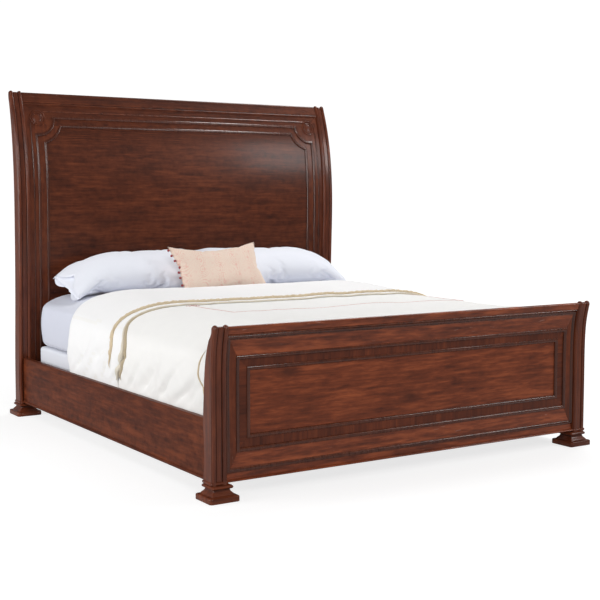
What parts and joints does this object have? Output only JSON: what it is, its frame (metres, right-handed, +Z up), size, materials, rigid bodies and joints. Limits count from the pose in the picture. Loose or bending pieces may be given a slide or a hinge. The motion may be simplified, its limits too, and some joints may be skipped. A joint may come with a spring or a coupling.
{
  "type": "sleigh bed",
  "caption": "King-size sleigh bed with a rolled panelled headboard and footboard, side rails, slats, foundation, mattress, coverlet and pillows.",
  "frame": {"origin": "centre of the whole bed on the floor", "axes": "+X across the width, +Y along the length towards the headboard, +Z up"},
  "size_m": [2.07, 2.32, 1.752],
  "materials": {
    "cherry": "dark reddish-brown cherry stain, satin lacquer, lightly distressed edges",
    "burl": "figured veneer, reddish-brown, satin lacquer",
    "pine": "planed, unfinished",
    "steel": "zinc plated",
    "nylon": "moulded black",
    "sheeting": "smooth white cotton percale",
    "coverlet": "soft off-white cotton with corded edges",
    "paisley": "printed cream and rose cotton"
  },
  "bodies": {
    "bedstead": {"centre_leg_1": "pine", "centre_leg_2": "pine", "centre_leg_3": "pine", "cleat_left": "pine", "cleat_right": "pine", "foot_left_foot": "cherry", "foot_right_foot": "cherry", "footboard_base_bead": "cherry", "footboard_border_moulding": "cherry", "footboard_bottom_rail": "cherry", "footboard_cap": "cherry", "footboard_inner_moulding": "cherry", "footboard_outer_moulding": "cherry", "footboard_panel": "burl", "footboard_post_left": "cherry", "footboard_post_right": "cherry", "footboard_stile_left": "cherry", "footboard_stile_right": "cherry", "footboard_top_rail": "cherry", "head_left_foot": "cherry", "head_right_foot": "cherry", "headboard_bottom_rail": "cherry", "headboard_cap": "cherry", "headboard_cove": "cherry", "headboard_inner_moulding": "cherry", "headboard_outer_moulding": "cherry", "headboard_panel": "burl", "headboard_post_left": "cherry", "headboard_post_right": "cherry", "headboard_rosette_left": "cherry", "headboard_rosette_right": "cherry", "headboard_side_bead_left": "cherry", "headboard_side_bead_right": "cherry", "headboard_stile_left": "cherry", "headboard_stile_right": "cherry", "headboard_top_bead": "cherry", "headboard_top_rail": "cherry", "hook_plate_foot_left": "steel", "hook_plate_foot_right": "steel", "hook_plate_head_left": "steel", "hook_plate_head_right": "steel", "rail_bead_left": "cherry", "rail_bead_right": "cherry", "side_rail_left": "cherry", "side_rail_right": "cherry", "slat_1": "pine", "slat_2": "pine", "slat_3": "pine"},
    "foundation": {"foundation_left": "sheeting", "foundation_right": "sheeting"},
    "mattress": {"mattress": "sheeting", "coverlet": "coverlet"},
    "pillow_left": {"pillow_left": "sheeting"},
    "pillow_right": {"pillow_right": "sheeting"},
    "accent_pillow": {"accent_pillow": "paisley"},
    "glide_1": {"glide_1": "nylon"},
    "glide_2": {"glide_2": "nylon"},
    "glide_3": {"glide_3": "nylon"}
  },
  "joints": [
    {"name": "glide_1_screw", "type": "slide", "parent": "bedstead", "child": "glide_1", "axis": [0, 0, 1], "range_m": [0, 0.015]},
    {"name": "glide_2_screw", "type": "slide", "parent": "bedstead", "child": "glide_2", "axis": [0, 0, 1], "range_m": [0, 0.015]},
    {"name": "glide_3_screw", "type": "slide", "parent": "bedstead", "child": "glide_3", "axis": [0, 0, 1], "range_m": [0, 0.015]},
    {"name": "foundation_lift", "type": "slide", "parent": "bedstead", "child": "foundation", "axis": [0, 0, 1], "range_m": [0, 0.2]},
    {"name": "mattress_lift", "type": "slide", "parent": "foundation", "child": "mattress", "axis": [0, 0, 1], "range_m": [0, 0.32]},
    {"name": "accent_pillow_lift", "type": "slide", "parent": "mattress", "child": "accent_pillow", "axis": [0, 0, 1], "range_m": [0, 0.25]},
    {"name": "pillow_left_slide", "type": "slide", "parent": "mattress", "child": "pillow_left", "axis": [-1, 0, 0], "range_m": [0, 0.2]},
    {"name": "pillow_right_slide", "type": "slide", "parent": "mattress", "child": "pillow_right", "axis": [1, 0, 0], "range_m": [0, 0.2]}
  ]
}
